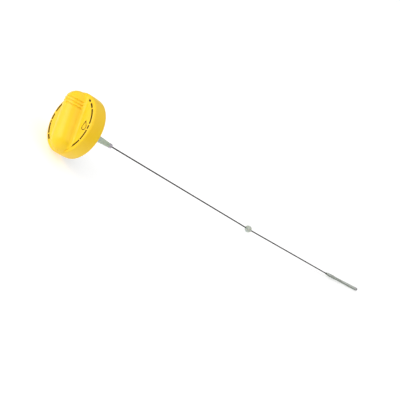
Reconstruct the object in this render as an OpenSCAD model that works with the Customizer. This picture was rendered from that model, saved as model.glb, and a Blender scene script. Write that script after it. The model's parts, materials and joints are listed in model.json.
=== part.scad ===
// Engine oil dipstick on a screw-in filler cap.
// Each piece is modelled upright, with the cap's rim in the plane z = 0, the grip above it
// and the stick hanging down along -Z. One placement then lays the whole object down on the
// foot of the skirt and the end of the stick, which is how it comes to rest on a flat surface.

/* [Cap shell] */
// Outer radius of the skirt
cap_r = 28; // [24:0.5:32]
// Height of the face above the rim
face_z = 14; // [12.5:0.5:20]
// Thickness of the skirt
skirt_wall = 2.4; // [1.8:0.1:2.8]
// Thickness of the face and of the hollow grip
face_wall = 2.6; // [1.8:0.1:3.0]
// Rounding between skirt and face
edge_round = 2; // [0.5:0.1:2.4]
// Rounding of the rim
rim_round = 0.6; // [0.2:0.1:0.8]
// Height of the skirt's foot, which tapers in a little towards the rim
foot_h = 5; // [3:0.5:7]

/* [Grip bar] */
// Radius of the grip bar
grip_r = 11; // [8:0.5:13]
// Half of the grip bar's length
grip_half = 27.6; // [22:0.1:27.7]
// Direction of the grip bar round the cap's axis
grip_dir = 48; // [0:1:90]
// Fillet between the grip bar and the face
grip_fillet = 1.2; // [0.4:0.1:1.8]
// Number of finger grooves at one end of the bar
groove_count = 3; // [1:1:4]
// Distance between finger grooves
groove_pitch = 2.65; // [2:0.05:3]
// Width of a finger groove
groove_w = 1.1; // [0.6:0.1:1.5]
// Depth of a finger groove
groove_depth = 0.6; // [0.3:0.1:1]
// Distance from the cap's axis to the first finger groove
groove_start = 14; // [11:0.1:15]
// Angle between the finger grooves and a square cut across the bar
groove_skew = 13; // [0:1:16]

/* [Threaded insert] */
// Gap between the thread and the skirt, which takes the wall of the filler neck
neck_gap = 7.6; // [6.4:0.1:9]
// Wall of the threaded spigot
spigot_wall = 2.6; // [1.8:0.1:3.2]
// How far the spigot stands out past the rim
spigot_reach = 5; // [2:0.5:6]
// Thickness of the flange and the floor of the insert
flange_t = 2.8; // [2:0.1:3.2]
// Depth of the plain neck behind the thread, where the gasket sits
neck_depth = 0.8; // [0.4:0.1:1.2]
// Length of the neck
neck_len = 3.2; // [3:0.1:3.8]
// Chamfer at the nose of the spigot
nose_chamfer = 0.8; // [0.3:0.1:1.2]
// Number of webs between the socket and the spigot
web_count = 6; // [3:1:8]
// Thickness of a web
web_t = 1.6; // [1:0.1:2.4]
// Wall of the socket round the stick holder
socket_wall = 2; // [1.2:0.1:2.6]
// Depth of the socket below the floor
socket_depth = 6; // [3:0.5:7]
// Overlap of the retaining bead in the skirt under the flange
snap_bead = 0.6; // [0.3:0.1:0.8]

/* [Gasket] */
// Thickness of the gasket
seal_t = 2.6; // [2:0.1:2.8]
// Gap between the gasket and the retaining bead round it
seal_gap = 1; // [0.5:0.1:2]

/* [Stick holder] */
// Radius of the holder at its shoulder
holder_r = 4.8; // [4:0.1:5.5]
// Distance from the rim to the lower end of the holder
holder_end = 33; // [26:0.5:45]
// Radius of the holder at its lower end
holder_end_r = 2.1; // [1.9:0.05:2.6]
// Radius of the neck through the insert's floor
holder_neck_r = 3; // [2.8:0.1:3.4]
// Radius of the head above the floor
holder_head_r = 4.2; // [3.8:0.1:5]
// Height of the head
holder_head_t = 2; // [1.2:0.1:3]
// Length of the nose that carries the crimp
nose_len = 2.6; // [2:0.1:4]
// Radius of the nose
nose_r = 1.45; // [1.25:0.05:1.6]

/* [Wire and its end fittings] */
// Diameter of the wire rope
wire_d = 1.3; // [1:0.05:1.4]
// Radius of the swaged stop on the upper end of the wire
anchor_r = 2; // [1.6:0.05:2.2]
// Length of the swaged stop
anchor_len = 6; // [4:0.5:7]
// Wall of the crimp on the holder's nose
crimp_wall = 0.65; // [0.4:0.05:0.9]
// Length of the crimp on the holder's nose
crimp_len = 3.2; // [3:0.1:4.6]
// Distance from the rim to the middle of the guide bead
bead_at = 236.5; // [120:0.5:238]
// Radius of the guide bead
bead_r = 3.5; // [2.5:0.1:3.7]
// Radius of the hubs at the two ends of the bead
bead_hub_r = 1.35; // [1.2:0.05:1.8]
// Overall length of the bead with its hubs
bead_len = 8.4; // [7.5:0.1:12]

/* [Set of the wire] */
// Angle that the wire turns through at the guide bead
bead_turn = 1.05; // [0.5:0.05:3]
// Length of wire between the bead and the blade
lower_wire = 137; // [80:0.5:160]
// Angle that the wire turns through at the blade
blade_turn = 1.35; // [0.5:0.05:3]

/* [Measuring blade] */
// Length of the blade
blade_len = 54.5; // [50:0.5:70]
// Thickness of the blade
blade_t = 2; // [1.9:0.05:2.6]
// Width of the blade at its middle
blade_w = 2.9; // [2.6:0.1:3.4]
// Width of the blade's head
head_w = 3.8; // [3.4:0.1:5]
// Width of the blade's foot
foot_w = 3.4; // [3.0:0.1:5]
// Length of the tapered start of the head
head_taper = 6; // [3:0.5:8]
// Length of the head with its taper
head_len = 15.5; // [14:0.5:18]
// Length of the wide foot
foot_len = 15; // [8:0.5:18]
// Length of the slope where the width changes
shoulder_len = 1.8; // [0.5:0.1:3]
// Radius of the blade's start, round the wire
entry_r = 1.1; // [1.05:0.05:1.4]
// Length of wire held inside the blade
wire_grip = 6; // [4:0.5:6]
// Distance from the blade's start to the hatched field between the level marks
hatch_at = 6.5; // [6.5:0.5:9]
// Length of the hatched field
hatch_len = 22.5; // [14:0.5:28]
// Distance between the slanting grooves of the hatch
hatch_pitch = 4; // [2.5:0.1:6]
// Width of a hatch groove
hatch_w = 0.8; // [0.4:0.1:1.2]
// Depth of a hatch groove
hatch_depth = 0.25; // [0.1:0.05:0.3]
// Slant of the hatch
hatch_slant = 45; // [30:5:60]
// Depth of the level notches in the edges of the blade
notch_depth = 0.4; // [0.2:0.1:0.6]
// Radius of the pin at the blade's end
pin_r = 0.9; // [0.7:0.05:0.9]
// Radius of the metal stop at the very end
stop_r = 1.75; // [1.45:0.05:2.2]
// Length of the metal stop
stop_len = 4.7; // [4.4:0.1:7]

/* [Clearances] */
// Clearance between parts that clip or slide together
fit = 0.15; // [0.05:0.05:0.25]
// Clearance round the wire inside its fittings
wire_fit = 0.05; // [0.02:0.01:0.1]

/* [Hidden] */
$fn = 96;
cut = 1; // how far a cutting tool runs past what it cuts

// Cap shell and insert
skirt_in = cap_r - skirt_wall;
spigot_r = skirt_in - neck_gap; // over the thread's crests
face_under = face_z - face_wall;
flange_top = face_under;
flange_z = flange_top - flange_t;
flange_r = skirt_in - fit;
neck_r = spigot_r - neck_depth;
thread_top = flange_z - neck_len;
bore_r = spigot_r - spigot_wall;
seal_in = neck_r + fit;
seal_face_in = spigot_r + 2 * fit;
seal_r = skirt_in - snap_bead - seal_gap;
grip_straight = grip_half - grip_r;
fillet_x = sqrt(pow(grip_r + grip_fillet, 2) - pow(grip_fillet, 2));
fillet_share = grip_r / (grip_r + grip_fillet);

// Stick holder
wire_r = wire_d / 2;
wire_bore = wire_r + wire_fit;
socket_end = flange_z - socket_depth;
holder_top = flange_top + holder_head_t;
holder_slope = (holder_r - holder_end_r) / (flange_z + holder_end);
socket_end_r = holder_r - holder_slope * socket_depth;
anchor_z = holder_top - anchor_len;
crimp_r = nose_r + wire_fit + crimp_wall;

// Balls that join the straight stretches of wire where it turns
elbow_r = wire_r + wire_fit / 2;
elbow_gap = wire_fit / 2;
bead_bore = wire_bore + bead_len / 2 * tan(bead_turn / 2);

// Metal stop, measured along the wire from the second turn
blade_start = 2 * elbow_r;
stop_at = blade_start + blade_len;
stop_dome = stop_at + stop_len - stop_r;
pin_len = stop_len - stop_r;

// Lying position: the skirt's foot lies flat on the surface and the domed stop touches it
both_turns = bead_turn + blade_turn;
dome_x = lower_wire * sin(bead_turn) + stop_dome * sin(both_turns);
dome_z = bead_at + lower_wire * cos(bead_turn) + stop_dome * cos(both_turns);
rest_up = cap_r + dome_x;
rest_along = foot_h + dome_z;
lie_deg = acos(stop_r / norm([rest_up, rest_along])) - atan2(rest_along, rest_up);
lift = cap_r * cos(lie_deg) - foot_h * sin(lie_deg);
foot_r = cap_r - (foot_h - rim_round) * tan(lie_deg); // where the foot meets the rim's rounding
reach_back = face_z * cos(lie_deg) + grip_straight * cos(grip_dir) * sin(lie_deg) + grip_r;
reach_front = dome_x * sin(lie_deg) + dome_z * cos(lie_deg) + stop_r;
slide = (reach_back - reach_front) / 2;

// Lays an upright piece down into the resting position
module laid() {
    translate([slide, 0, lift]) rotate([0, lie_deg - 90, 0]) children();
}

// Frame of the wire just after its turn inside the guide bead, the wire running down along -Z
module past_bead() {
    translate([0, 0, -bead_at]) rotate([0, -bead_turn, 0]) children();
}

// Frame of the wire just after its turn at the blade
module past_blade_turn() {
    past_bead() translate([0, 0, -lower_wire]) rotate([0, -blade_turn, 0]) children();
}

// A straight stretch of round bar running down from the origin
module rod(r, length) {
    translate([0, 0, -length]) cylinder(r = r, h = length);
}

// Half outline of the grip bar, a long round-ended form, inset by the given wall
module grip_outline(inset) {
    r = grip_r - inset;
    intersection() {
        union() {
            translate([0, grip_straight]) circle(r);
            translate([0, -grip_straight]) circle(r);
            translate([0, -grip_straight]) square([r, 2 * grip_straight]);
        }
        translate([0, -cap_r - r]) square([r + cut, 2 * (cap_r + r)]);
    }
}

// The round-ended bar lying in the plane of the face
module grip_bar(inset) {
    translate([0, 0, face_z]) rotate([-90, 0, grip_dir - 90]) rotate_extrude() grip_outline(inset);
}

// Section of the fillet between the bar and the face, tangent to both
module fillet_section() {
    difference() {
        polygon([
            [grip_r - grip_fillet, -grip_fillet / 2],
            [fillet_x, -grip_fillet / 2],
            [fillet_x, grip_fillet],
            [fillet_x * fillet_share, grip_fillet * fillet_share],
            [grip_r - grip_fillet, grip_fillet * fillet_share]
        ]);
        translate([fillet_x, grip_fillet]) circle(grip_fillet);
    }
}

// Fillet along both sides of the bar, kept inside the face
module grip_foot() {
    intersection() {
        translate([0, 0, face_z]) rotate([0, 0, grip_dir - 90]) for (side = [0, 180]) {
            rotate([0, 0, side]) {
                translate([0, grip_straight, 0]) rotate([90, 0, 0])
                    linear_extrude(2 * grip_straight) fillet_section();
                translate([0, grip_straight, 0]) rotate_extrude(angle = 180) fillet_section();
            }
        }
        cylinder(r = cap_r - edge_round, h = face_z + grip_fillet);
    }
}

// Finger grooves of even depth over one end of the bar
module finger_grooves() {
    for (i = [0 : groove_count - 1]) {
        difference() {
            rotate([0, 0, grip_dir - 90 - groove_skew])
                translate([-cap_r, groove_start + i * groove_pitch - groove_w / 2, face_z + grip_fillet])
                    cube([2 * cap_r, groove_w, grip_r + cut]);
            grip_bar(groove_depth);
        }
    }
}

// Skirt and face in one turned section
module cup_section() {
    difference() {
        union() {
            square([cap_r - edge_round, face_z]);
            translate([0, foot_h]) square([cap_r, face_z - edge_round - foot_h]);
            polygon([[0, rim_round], [foot_r, rim_round], [cap_r, foot_h], [0, foot_h]]);
            square([foot_r - rim_round, foot_h]);
            translate([cap_r - edge_round, face_z - edge_round]) circle(edge_round);
            translate([foot_r - rim_round, rim_round]) circle(rim_round);
        }
        translate([-cut, -cut]) square([skirt_in + cut, face_under + cut]);
    }
}

// Bead inside the skirt that holds the insert's flange up against the face
module retaining_bead() {
    top = flange_z - fit;
    rotate_extrude() polygon([
        [skirt_in + skirt_wall / 2, top],
        [skirt_in - snap_bead, top],
        [skirt_in - snap_bead, top - snap_bead / 2],
        [skirt_in, top - 2 * snap_bead],
        [skirt_in + skirt_wall / 2, top - 2 * snap_bead]
    ]);
}

module cap_shell() {
    color("gold") laid() difference() {
        union() {
            rotate_extrude() cup_section();
            retaining_bead();
            intersection() {
                grip_bar(0);
                translate([0, 0, face_under]) cylinder(r = cap_r, h = grip_r + face_wall + cut);
            }
            grip_foot();
        }
        intersection() {
            grip_bar(face_wall);
            cylinder(r = skirt_in, h = face_z + grip_r);
        }
        finger_grooves();
    }
}

// Turned section of the insert: flange and floor above, neck and threaded spigot below
module insert_section() {
    polygon([
        [0, flange_top],
        [flange_r, flange_top],
        [flange_r, flange_z],
        [neck_r, flange_z],
        [neck_r, thread_top],
        [spigot_r, thread_top],
        [spigot_r, nose_chamfer - spigot_reach],
        [spigot_r - nose_chamfer, -spigot_reach],
        [bore_r, -spigot_reach],
        [bore_r, flange_z],
        [0, flange_z]
    ]);
}

module thread_insert() {
    web_in = socket_end_r + socket_wall / 2;
    web_out = bore_r + spigot_wall / 2;
    color("dimgray") laid() difference() {
        union() {
            rotate_extrude() insert_section();
            translate([0, 0, socket_end])
                cylinder(r1 = socket_end_r + socket_wall, r2 = holder_r + socket_wall, h = socket_depth);
            for (i = [0 : web_count - 1]) {
                rotate([0, 0, i * 360 / web_count]) translate([web_in, -web_t / 2, socket_end])
                    cube([web_out - web_in, web_t, socket_depth + flange_t / 2]);
            }
        }
        translate([0, 0, socket_end])
            cylinder(r1 = socket_end_r + fit, r2 = holder_r + fit, h = socket_depth);
        translate([0, 0, flange_z - cut]) cylinder(r = holder_neck_r + fit, h = flange_t + 2 * cut);
        translate([0, 0, socket_end - cut]) cylinder(r = socket_end_r + fit, h = 2 * cut);
    }
}

// Gasket, bevelled inside so that its flat underside clears the thread's crests
module seal_ring() {
    seal_z = flange_z - seal_t;
    color("black") laid() rotate_extrude() polygon([
        [seal_in, flange_z],
        [seal_r, flange_z],
        [seal_r, seal_z],
        [seal_face_in, seal_z],
        [seal_in, seal_z + seal_face_in - seal_in]
    ]);
}

module stick_holder() {
    color("honeydew") laid() difference() {
        rotate_extrude() polygon([
            [0, holder_top],
            [holder_head_r - holder_head_t / 3, holder_top],
            [holder_head_r, holder_top - holder_head_t / 2],
            [holder_head_r, flange_top],
            [holder_neck_r, flange_top],
            [holder_neck_r, flange_z],
            [holder_r, flange_z],
            [holder_end_r, -holder_end],
            [nose_r, -holder_end],
            [nose_r, -holder_end - nose_len],
            [0, -holder_end - nose_len]
        ]);
        translate([0, 0, anchor_z]) cylinder(r = anchor_r + wire_fit, h = anchor_len + cut);
        translate([0, 0, -holder_end - nose_len - cut])
            cylinder(r = wire_bore, h = anchor_z + holder_end + nose_len + 2 * cut);
    }
}

module wire_anchor() {
    color("darkkhaki") laid() translate([0, 0, anchor_z]) difference() {
        cylinder(r = anchor_r, h = anchor_len);
        translate([0, 0, -cut]) cylinder(r = wire_bore, h = anchor_len + 2 * cut);
    }
}

module holder_crimp() {
    color("silver") laid() translate([0, 0, -holder_end]) difference() {
        rod(crimp_r, crimp_len);
        translate([0, 0, cut]) rod(nose_r + wire_fit, nose_len + wire_fit + cut);
        translate([0, 0, cut]) rod(wire_bore, crimp_len + 2 * cut);
    }
}

module gauge_wire() {
    color("slategray") laid() {
        translate([0, 0, holder_top]) rod(wire_r, holder_top + bead_at - elbow_gap);
        past_bead() sphere(elbow_r);
        past_bead() translate([0, 0, -elbow_gap]) rod(wire_r, lower_wire - 2 * elbow_gap);
        past_blade_turn() sphere(elbow_r);
        past_blade_turn() translate([0, 0, -elbow_gap]) rod(wire_r, blade_start + wire_grip - elbow_gap);
    }
}

module guide_bead() {
    color("ivory") laid() translate([0, 0, -bead_at]) rotate([0, -bead_turn / 2, 0]) difference() {
        union() {
            sphere(bead_r);
            translate([0, 0, -bead_len / 2]) cylinder(r = bead_hub_r, h = bead_len);
        }
        translate([0, 0, -bead_len / 2 - cut]) cylinder(r = bead_bore, h = bead_len + 2 * cut);
    }
}

// Half outline of the blade, with y across and z down its length
function blade_edge() = [
    [head_w / 2, 0],
    [head_w / 2, head_len],
    [blade_w / 2, head_len + shoulder_len],
    [blade_w / 2, blade_len - foot_len - shoulder_len],
    [foot_w / 2, blade_len - foot_len],
    [foot_w / 2, blade_len]
];

// Blade without its tapered start, bored and marked later
module blade_body() {
    edge = blade_edge();
    other = [for (i = [len(edge) - 1 : -1 : 0]) [-edge[i][0], edge[i][1]]];
    translate([-blade_t / 2, 0, 0]) rotate([0, 90, 0]) linear_extrude(blade_t)
        polygon([for (p = concat(edge, other)) [p[1], p[0]]]);
}

// Cone that the head's start is trimmed to, and all the room below it
module head_trim() {
    translate([0, 0, -head_taper]) cylinder(r1 = head_w * 0.6, r2 = entry_r, h = head_taper);
    translate([-head_w, -head_w, -blade_len - cut])
        cube([2 * head_w, 2 * head_w, blade_len - head_taper + cut]);
}

// Slanting grooves of the hatched field, crossing on both broad faces
module hatch_grooves() {
    for (way = [-1, 1], i = [0 : floor(hatch_len / hatch_pitch)]) {
        translate([0, 0, -hatch_at - i * hatch_pitch]) rotate([way * hatch_slant, 0, 0])
            translate([-blade_t, -2 * head_w, -hatch_w / 2]) cube([2 * blade_t, 4 * head_w, hatch_w]);
    }
}

// What the hatch takes off: its grooves, no deeper than the skin of the blade
module hatch() {
    for (face = [-1, 1]) {
        intersection() {
            hatch_grooves();
            translate([face * (blade_t / 2 + cut / 2 - hatch_depth), 0, -hatch_at - hatch_len / 2])
                cube([cut, 2 * head_w, hatch_len], center = true);
        }
    }
}

// Notches in both edges of the blade that mark an oil level
module level_notch(at, half_w) {
    for (side = [-1, 1]) {
        translate([0, side * half_w, -at]) rotate([45, 0, 0])
            cube([blade_t + 2 * cut, notch_depth * sqrt(2), notch_depth * sqrt(2)], center = true);
    }
}

module gauge_blade() {
    color("lightgray") laid() past_blade_turn() translate([0, 0, -blade_start]) difference() {
        union() {
            intersection() {
                blade_body();
                head_trim();
            }
            translate([0, 0, -blade_len + cut]) rod(pin_r, pin_len + cut);
        }
        translate([0, 0, cut]) rod(wire_bore, wire_grip + wire_fit + cut);
        hatch();
        level_notch(hatch_at, head_w / 2);
        level_notch(hatch_at + hatch_len, blade_w / 2);
    }
}

module end_stop() {
    color("gray") laid() past_blade_turn() translate([0, 0, -stop_at]) difference() {
        union() {
            rod(stop_r, stop_len - stop_r);
            translate([0, 0, stop_r - stop_len]) sphere(stop_r);
        }
        translate([0, 0, cut]) rod(pin_r + wire_fit, pin_len + wire_fit + cut);
    }
}

cap_shell();
thread_insert();
seal_ring();
stick_holder();
wire_anchor();
holder_crimp();
gauge_wire();
guide_bead();
gauge_blade();
end_stop();
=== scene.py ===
"""Looks of an engine oil dipstick on a screw-in filler cap.

Every sub-assembly is built upright in millimetres, with the cap's rim at z = 0, the grip above it
and the stick running down along -Z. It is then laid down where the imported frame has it.
"""
import json
import logging
import math
from dataclasses import dataclass, field
from enum import Enum
from typing import Sequence

import bmesh
import bpy
from mathutils import Matrix, Vector


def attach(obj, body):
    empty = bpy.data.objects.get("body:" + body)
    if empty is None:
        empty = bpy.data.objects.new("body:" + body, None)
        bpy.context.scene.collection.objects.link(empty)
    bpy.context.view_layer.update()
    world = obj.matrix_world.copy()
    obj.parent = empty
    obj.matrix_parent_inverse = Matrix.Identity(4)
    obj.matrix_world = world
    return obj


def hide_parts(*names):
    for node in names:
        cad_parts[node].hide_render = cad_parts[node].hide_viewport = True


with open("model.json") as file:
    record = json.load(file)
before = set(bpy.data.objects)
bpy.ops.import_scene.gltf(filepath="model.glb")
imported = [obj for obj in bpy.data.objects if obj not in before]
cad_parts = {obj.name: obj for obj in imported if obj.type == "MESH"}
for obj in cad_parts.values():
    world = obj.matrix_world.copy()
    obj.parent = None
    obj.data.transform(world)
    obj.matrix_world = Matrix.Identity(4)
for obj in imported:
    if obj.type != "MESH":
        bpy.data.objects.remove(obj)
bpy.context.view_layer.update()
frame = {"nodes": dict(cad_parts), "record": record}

LOG = logging.getLogger("dipstick")
MM = 0.001
POLE = 1e-4  # merge distance in millimetres
# Noise seldom leaves the middle of its range, so that stretch is spread over the whole one
SPREAD = {"From Min": 0.3, "From Max": 0.7}
WAVE_TURN = 20.0  # a wave texture of scale 1 turns through this many radians in one unit

Point = tuple[float, float]
Corner = tuple[float, float, float]
Colour = tuple[float, float, float, float]


class Slot(Enum):
    """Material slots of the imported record."""

    CAP = "cap_plastic"
    INSERT = "insert_plastic"
    SEAL = "seal_rubber"
    HOLDER = "holder_nylon"
    PLATED = "plated_steel"
    WIRE = "wire_steel"
    BEAD = "bead_nylon"
    BLADE = "blade_plastic"
    STOP = "stop_steel"


def smooth_step(value: float) -> float:
    """Returns value clamped to 0..1 and eased at both ends."""
    t = min(1.0, max(0.0, value))
    return t * t * (3.0 - 2.0 * t)


def arc(centre: Point, radius: float, start_deg: float, end_deg: float, steps: int) -> list[Point]:
    """Points along an arc.

    Args:
        centre: Middle of the arc.
        radius: Its radius.
        start_deg: Angle of the first point.
        end_deg: Angle of the last point.
        steps: Number of stretches between the points.

    Returns:
        The points in order, both ends included.
    """
    angles = [math.radians(start_deg + (end_deg - start_deg) * i / steps) for i in range(steps + 1)]
    return [(centre[0] + radius * math.cos(a), centre[1] + radius * math.sin(a)) for a in angles]


def rounded(corners: Sequence[Corner], steps: int = 5) -> list[Point]:
    """Rounds the corners of a closed outline.

    Args:
        corners: Each corner as (x, y, rounding radius), with 0 for a sharp one.
        steps: Stretches in each rounding.

    Returns:
        The points of the rounded outline.
    """
    points: list[Point] = []
    count = len(corners)
    for i, (x, y, radius) in enumerate(corners):
        here = Vector((x, y))
        if radius <= 0:
            points.append((x, y))
            continue
        before = (Vector(corners[i - 1][:2]) - here).normalized()
        after = (Vector(corners[(i + 1) % count][:2]) - here).normalized()
        half = before.angle(after) / 2
        centre = here + (before + after).normalized() * radius / math.sin(half)
        start = here + before * radius / math.tan(half) - centre
        end = here + after * radius / math.tan(half) - centre
        first = math.atan2(start.y, start.x)
        sweep = (math.atan2(end.y, end.x) - first + math.pi) % (2 * math.pi) - math.pi
        last = first + sweep
        points += arc(tuple(centre), radius, math.degrees(first), math.degrees(last), steps)
    return points


def outline_mesh(section: Sequence[Point], closed: bool = True) -> bmesh.types.BMesh:
    """Makes a wire outline in the XZ plane.

    Args:
        section: Its points as (radius, height).
        closed: Whether the last point joins the first.

    Returns:
        A mesh of points and edges only.
    """
    bm = bmesh.new()
    verts = [bm.verts.new((x, 0.0, z)) for x, z in section]
    for a, b in zip(verts, verts[1:]):
        bm.edges.new((a, b))
    if closed:
        bm.edges.new((verts[-1], verts[0]))
    return bm


def close_up(bm: bmesh.types.BMesh) -> bmesh.types.BMesh:
    """Merges doubles, closes open ends and turns all faces outwards.

    Args:
        bm: The mesh, which is changed.

    Returns:
        The same mesh.
    """
    bmesh.ops.remove_doubles(bm, verts=bm.verts[:], dist=POLE)
    bmesh.ops.dissolve_degenerate(bm, edges=bm.edges[:], dist=POLE)
    bmesh.ops.holes_fill(bm, edges=bm.edges[:], sides=0)
    bmesh.ops.recalc_face_normals(bm, faces=bm.faces[:])
    return bm


def turned(section: Sequence[Point], steps: int = 96) -> bmesh.types.BMesh:
    """Spins a half section right round the Z axis.

    Args:
        section: Closed outline as (radius, height) points. One that starts and ends on the
            axis is left open there.
        steps: Segments round the axis.

    Returns:
        A closed mesh in millimetres.
    """
    on_axis = section[0][0] == 0 and section[-1][0] == 0
    bm = outline_mesh(section, closed=not on_axis)
    bmesh.ops.spin(bm, geom=bm.verts[:] + bm.edges[:], cent=(0, 0, 0), axis=(0, 0, 1),
                   angle=2 * math.pi, steps=steps, use_merge=True)
    return close_up(bm)


def swept_round(section: Sequence[Point], start_deg: float, sweep_deg: float, steps: int,
                climb: float = 0.0) -> bmesh.types.BMesh:
    """Sweeps a closed section part of the way round the Z axis, or up a helix.

    Args:
        section: Closed outline as (radius, height) points.
        start_deg: Angle round the axis where the sweep starts.
        sweep_deg: Angle that it turns through.
        steps: Segments along the sweep.
        climb: Height gained over the whole sweep.

    Returns:
        A closed mesh in millimetres.
    """
    bm = outline_mesh(section)
    bmesh.ops.rotate(bm, verts=bm.verts[:], cent=(0, 0, 0),
                     matrix=Matrix.Rotation(math.radians(start_deg), 3, "Z"))
    bmesh.ops.spin(bm, geom=bm.verts[:] + bm.edges[:], cent=(0, 0, 0), axis=(0, 0, 1),
                   dvec=(0, 0, climb / steps), angle=math.radians(sweep_deg), steps=steps)
    return close_up(bm)


def joined(parts: Sequence[bmesh.types.BMesh]) -> bmesh.types.BMesh:
    """Gathers several closed shells into one mesh.

    Args:
        parts: The shells, which are freed.

    Returns:
        A new mesh that holds them all.
    """
    whole = bmesh.new()
    for part in parts:
        scratch = bpy.data.meshes.new("scratch")
        part.to_mesh(scratch)
        part.free()
        whole.from_mesh(scratch)
        bpy.data.meshes.remove(scratch)
    return whole


def shade(bm: bmesh.types.BMesh, sharp_deg: float = 38.0) -> None:
    """Shades a mesh smooth, apart from its sharp edges.

    Args:
        bm: The mesh, which is changed.
        sharp_deg: Edges that turn by more than this stay sharp.
    """
    sharp = math.radians(sharp_deg)
    for face in bm.faces:
        face.smooth = True
    for edge in bm.edges:
        edge.smooth = len(edge.link_faces) == 2 and edge.calc_face_angle(0.0) < sharp


@dataclass(frozen=True)
class Lie:
    """How the upright object lies in the row frame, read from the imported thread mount.

    Attributes:
        thread_mid: Height of the thread mount's centre above the rim, in millimetres.
    """

    thread_mid: float = 0.6

    def angle(self) -> float:
        """Angle in radians by which the stick dips below the level."""
        axis = self.mount()["axis"]
        return math.atan2(-axis[2], axis[0])

    def mount(self) -> dict:
        """The record's mount on the cap's own axis."""
        return next(m for m in frame["record"]["mounts"] if m["name"] == "neck_thread")

    def origin(self) -> Vector:
        """Centre of the rim in the row frame, in metres."""
        mount = self.mount()
        return Vector(mount["pos_m"]) + Vector(mount["axis"]) * self.thread_mid * MM

    def turn(self) -> float:
        """Turn about Y that lays the upright frame down."""
        return self.angle() - math.pi / 2

    def matrix(self) -> Matrix:
        """Upright millimetres to the row frame in metres."""
        return (Matrix.Translation(self.origin()) @ Matrix.Rotation(self.turn(), 4, "Y")
                @ Matrix.Scale(MM, 4))


@dataclass(frozen=True)
class Route:
    """The wire's set: straight stretches that turn a little at the bead and at the blade.

    Attributes:
        bead_at: Distance from the rim to the middle of the bead.
        bead_turn: Angle at the bead, in degrees.
        lower_wire: Length between bead and blade.
        blade_turn: Angle at the blade, in degrees.
        blade_start: Distance from that turn to the blade.
        blade_len: Length of the blade.
    """

    bead_at: float = 236.5
    bead_turn: float = 1.05
    lower_wire: float = 137.0
    blade_turn: float = 1.35
    blade_start: float = 1.35
    blade_len: float = 54.5

    def at_bead(self) -> Matrix:
        """Frame in the middle of the bead, half way through its turn."""
        return (Matrix.Translation((0, 0, -self.bead_at))
                @ Matrix.Rotation(math.radians(-self.bead_turn / 2), 4, "Y"))

    def past_bead(self) -> Matrix:
        """Frame just after the turn at the bead."""
        return (Matrix.Translation((0, 0, -self.bead_at))
                @ Matrix.Rotation(math.radians(-self.bead_turn), 4, "Y"))

    def past_blade_turn(self) -> Matrix:
        """Frame just after the turn at the blade."""
        return (self.past_bead() @ Matrix.Translation((0, 0, -self.lower_wire))
                @ Matrix.Rotation(math.radians(-self.blade_turn), 4, "Y"))

    def at_stop(self) -> Matrix:
        """Frame at the blade's end, where the metal stop starts."""
        to_end = Matrix.Translation((0, 0, -self.blade_start - self.blade_len))
        return self.past_blade_turn() @ to_end

    def follow(self, point: Vector) -> Vector:
        """Moves a point of a straight wire onto the route.

        Args:
            point: The point in the upright frame, on a wire without turns.

        Returns:
            Its place on the wire with its turns.
        """
        down = -point.z
        if down < self.bead_at:
            return point
        if down < self.bead_at + self.lower_wire:
            return self.past_bead() @ Vector((point.x, point.y, self.bead_at - down))
        rest = self.bead_at + self.lower_wire - down
        return self.past_blade_turn() @ Vector((point.x, point.y, rest))


LIE = Lie()
ROUTE = Route()


def linear(code: str) -> Colour:
    """Turns an sRGB colour into a linear one.

    Args:
        code: Six hex digits, such as "F2B705".

    Returns:
        Linear red, green, blue and full alpha.
    """
    channels = [int(code[i:i + 2], 16) / 255 for i in (0, 2, 4)]
    curved = [c / 12.92 if c <= 0.04045 else ((c + 0.055) / 1.055) ** 2.4 for c in channels]
    return (curved[0], curved[1], curved[2], 1.0)


def add_node(tree: bpy.types.NodeTree, kind: str, settings: dict | None = None,
             links: dict | None = None) -> bpy.types.Node:
    """Adds a node.

    Args:
        tree: The material's or world's tree.
        kind: Blender's name of the node type.
        settings: Properties by name, and input values by socket name or number.
        links: Output sockets by the name or number of the input that they feed.

    Returns:
        The new node.
    """
    node = tree.nodes.new(kind)
    for key, value in (settings or {}).items():
        if isinstance(key, str) and hasattr(node, key):
            setattr(node, key, value)
        else:
            node.inputs[key].default_value = value
    for key, socket in (links or {}).items():
        tree.links.new(socket, node.inputs[key])
    return node


def blank_material(name: str) -> tuple[bpy.types.Material, bpy.types.NodeTree]:
    """Makes a material without nodes.

    Args:
        name: The material's name.

    Returns:
        The material and its empty tree.
    """
    material = bpy.data.materials.new(name)
    material.use_nodes = True
    material.node_tree.nodes.clear()
    return material, material.node_tree


def place_in(tree: bpy.types.NodeTree, frame_of: Matrix) -> bpy.types.NodeSocket:
    """Turns Object coordinates back into a frame that is laid down.

    Args:
        tree: The material's tree.
        frame_of: That frame's millimetres to the row frame in metres.

    Returns:
        The socket with the coordinates in millimetres.
    """
    place, turn, scale = frame_of.decompose()
    coords = add_node(tree, "ShaderNodeTexCoord")
    mapping = add_node(
        tree, "ShaderNodeMapping",
        {"vector_type": "TEXTURE", "Location": place, "Rotation": turn.to_euler(), "Scale": scale},
        {"Vector": coords.outputs["Object"]})
    return mapping.outputs["Vector"]


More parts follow.
